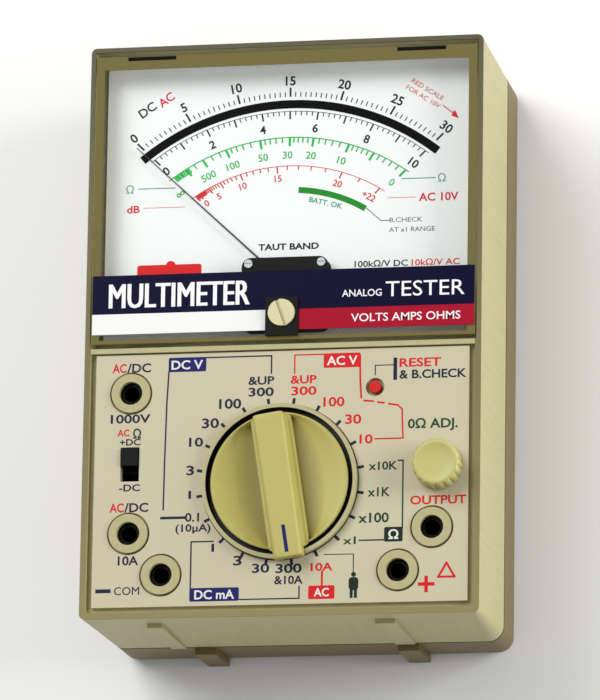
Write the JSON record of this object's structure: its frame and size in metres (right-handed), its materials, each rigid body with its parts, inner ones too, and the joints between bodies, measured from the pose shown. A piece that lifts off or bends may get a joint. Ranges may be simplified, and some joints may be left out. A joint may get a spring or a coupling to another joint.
{
  "type": "analog multimeter",
  "caption": "Hand-held pointer multimeter with a rotary range switch, sunk jack sockets, ohm adjuster, reset button and slide switch.",
  "frame": {"origin": "middle of the rear face, on which the meter lies", "axes": "+X to the right of the panel, +Y up the panel, +Z out of the front"},
  "size_m": [0.1046, 0.1554, 0.0633],
  "materials": {
    "case_abs": "moulded ABS, fine spark-eroded grain",
    "panel_print": "printed plate, satin",
    "clear_cover": "clear moulded plastic",
    "band_print": "screen printed, gloss",
    "black_plastic": "moulded, satin",
    "dial_paint": "printed aluminium, matt white",
    "mirror_foil": "dark bright foil",
    "pointer_paint": "matt black",
    "knob_abs": "moulded ABS, satin",
    "screw_cream": "moulded, satin",
    "red_plastic": "moulded, gloss",
    "nickel": "nickel plated brass",
    "brass": "turned brass",
    "zinc_steel": "zinc plated steel",
    "soft_iron": "bright soft iron",
    "magnet": "ground magnet alloy",
    "copper_wire": "enamelled copper wire",
    "aluminium": "turned aluminium",
    "bronze": "phosphor bronze strip",
    "spring_steel": "spring steel wire",
    "rotor_plastic": "acetal, natural",
    "pcb": "glass epoxy laminate, green resist",
    "relay_plastic": "moulded, gloss",
    "fuse_glass": "glass tube",
    "resistor_coat": "epoxy coat",
    "cell_label": "plain printed sleeve"
  },
  "bodies": {
    "case": {"front_case": "case_abs", "rear_case": "case_abs", "case_screws": "zinc_steel", "panel_plate": "panel_print", "meter_cover": "clear_cover", "name_band": "band_print", "adjuster_block": "black_plastic", "dial_plate": "dial_paint", "mirror_strip": "mirror_foil", "movement_cap": "black_plastic", "cap_screws": "zinc_steel", "movement_frame": "aluminium", "movement_screws": "zinc_steel", "yoke_ring": "soft_iron", "core_magnet": "magnet", "core_keys": "brass", "front_bridge": "brass", "rear_bridge": "brass", "detent_ring": "rotor_plastic", "potentiometer_body": "zinc_steel", "potentiometer_nut": "nickel", "reset_spring": "spring_steel", "reset_switch_body": "black_plastic", "polarity_switch_body": "zinc_steel", "jack_nuts": "nickel", "circuit_board": "pcb", "board_screws": "zinc_steel", "protection_relay": "relay_plastic", "fuse": "fuse_glass", "fuse_clips": "nickel", "shunt_bar": "copper_wire", "precision_resistors": "resistor_coat", "aa_cells": "cell_label", "battery_9v": "cell_label", "battery_contacts": "nickel", "jack_socket_1": "nickel", "jack_socket_2": "nickel", "jack_socket_3": "nickel", "jack_socket_4": "nickel", "jack_socket_5": "nickel"},
    "range_switch": {"range_knob": "knob_abs", "switch_shaft": "zinc_steel", "shaft_clip": "spring_steel", "switch_rotor": "rotor_plastic", "wiper_contacts": "bronze", "detent_balls": "spring_steel", "detent_springs": "spring_steel"},
    "pointer_unit": {"moving_coil": "copper_wire", "coil_hubs": "aluminium", "pointer": "pointer_paint", "balance_weights": "brass", "taut_bands": "bronze"},
    "zero_lever_unit": {"zero_lever": "brass", "tension_spring": "bronze"},
    "zero_screw_unit": {"zero_adjust_screw": "screw_cream"},
    "ohm_adjust_unit": {"ohm_adjust_knob": "knob_abs", "potentiometer_shaft": "aluminium"},
    "reset_unit": {"reset_button": "red_plastic"},
    "polarity_unit": {"polarity_slider": "black_plastic"}
  },
  "joints": [
    {"name": "range_switch_turn", "type": "hinge", "parent": "case", "child": "range_switch", "pos_m": [0, -0.041, 0.058], "axis": [0, 0, 1], "continuous": true},
    {"name": "zero_adjust_turn", "type": "hinge", "parent": "case", "child": "zero_screw_unit", "pos_m": [0, 0.0032, 0.058], "axis": [0, 0, 1], "range_deg": [-30, 30]},
    {"name": "zero_lever_turn", "type": "hinge", "parent": "case", "child": "zero_lever_unit", "pos_m": [0, 0.0123, 0.0545], "axis": [0, 0, 1], "range_deg": [-3.6, 3.6]},
    {"name": "pointer_swing", "type": "hinge", "parent": "zero_lever_unit", "child": "pointer_unit", "pos_m": [0, 0.0123, 0.052], "axis": [0, 0, -1], "range_deg": [-2, 96], "stiffness_Nm_per_rad": 0.00002},
    {"name": "ohm_adjust_turn", "type": "hinge", "parent": "case", "child": "ohm_adjust_unit", "pos_m": [0.0413, -0.038, 0.058], "axis": [0, 0, 1], "range_deg": [-150, 150]},
    {"name": "reset_press", "type": "slide", "parent": "case", "child": "reset_unit", "axis": [0, 0, -1], "range_m": [0, 0.0015], "stiffness_N_per_m": 150, "springref_m": -0.001, "deforming": ["reset_spring"]},
    {"name": "polarity_slide", "type": "slide", "parent": "case", "child": "polarity_unit", "axis": [0, -1, 0], "range_m": [0, 0.0038]}
  ],
  "couplings": [
    {"joint": "zero_lever_turn", "follows": "zero_adjust_turn", "ratio": 0.1165}
  ]
}
